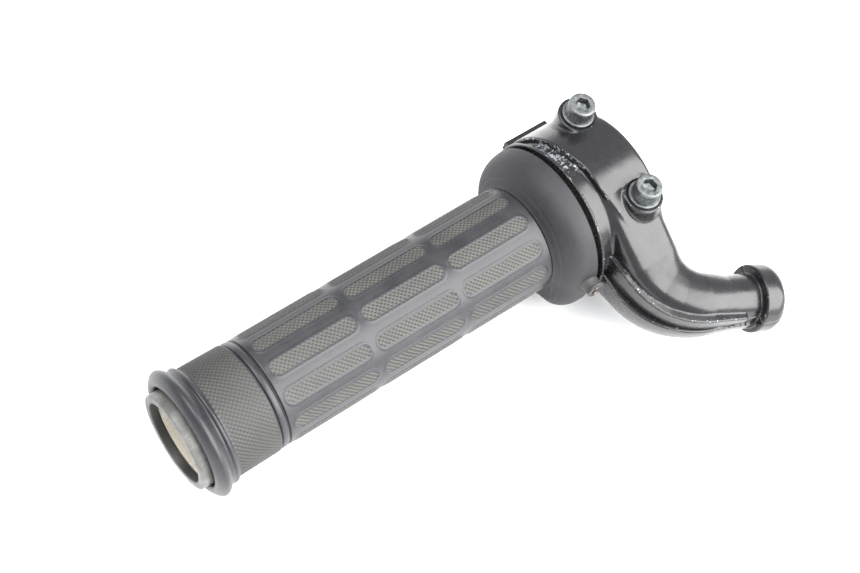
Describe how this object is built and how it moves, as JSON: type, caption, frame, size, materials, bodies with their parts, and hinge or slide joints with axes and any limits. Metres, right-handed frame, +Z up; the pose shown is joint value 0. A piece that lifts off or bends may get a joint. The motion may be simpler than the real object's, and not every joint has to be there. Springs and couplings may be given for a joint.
{
  "type": "throttle grip",
  "caption": "Heated motorcycle twist grip: ribbed rubber sleeve on a nylon throttle tube, turning in a clamp-on cast housing with a curved cable snout.",
  "frame": {"origin": "on the handlebar's axis, inside the clamp, in the plane 9 mm outboard of the housing's inboard face", "axes": "+X along the bar towards its open end (the rider's right), +Y forward, the way the cable snout leaves the case, +Z up, towards the screw heads"},
  "size_m": [0.1868, 0.0964, 0.055],
  "materials": {
    "black_paint": "gloss black paint on die-cast alloy, worn and scratched to metal on edges",
    "zinc_steel": "dull zinc plate, knurled sides, handled and slightly corroded",
    "bright_steel": "ground dowel steel",
    "nylon": "natural off-white nylon, slightly soiled",
    "polyimide": "thin amber film",
    "resistance_ribbon": "copper-nickel ribbon",
    "tinned_tab": "tinned copper",
    "black_wire": "silicone insulation",
    "copper": "stranded copper, cut flush",
    "heat_shrink": "shrunk sleeve",
    "grommet_rubber": "matt moulded rubber",
    "rubber": "matt grey-black moulded rubber, handled, with faint dust in the knurling",
    "grey_plastic": "light grey moulded plastic, scuffed"
  },
  "bodies": {
    "housing": {"housing_upper": "black_paint", "housing_lower": "black_paint", "clamp_screws": "zinc_steel", "screw_washers": "zinc_steel", "alignment_dowels": "bright_steel"},
    "throttle": {"throttle_tube": "nylon", "heater_film": "polyimide", "heater_trace": "resistance_ribbon", "heater_terminals": "tinned_tab", "lead_live": "black_wire", "lead_earth": "black_wire", "lead_cores": "copper", "solder_sleeves": "heat_shrink", "lead_grommet": "grommet_rubber", "grip_rubber": "rubber", "flange_cover": "rubber", "end_collar": "grey_plastic"}
  },
  "joints": [
    {"name": "throttle_turn", "type": "hinge", "parent": "housing", "child": "throttle", "pos_m": [0, 0, 0], "axis": [1, 0, 0], "range_deg": [0, 80]}
  ]
}
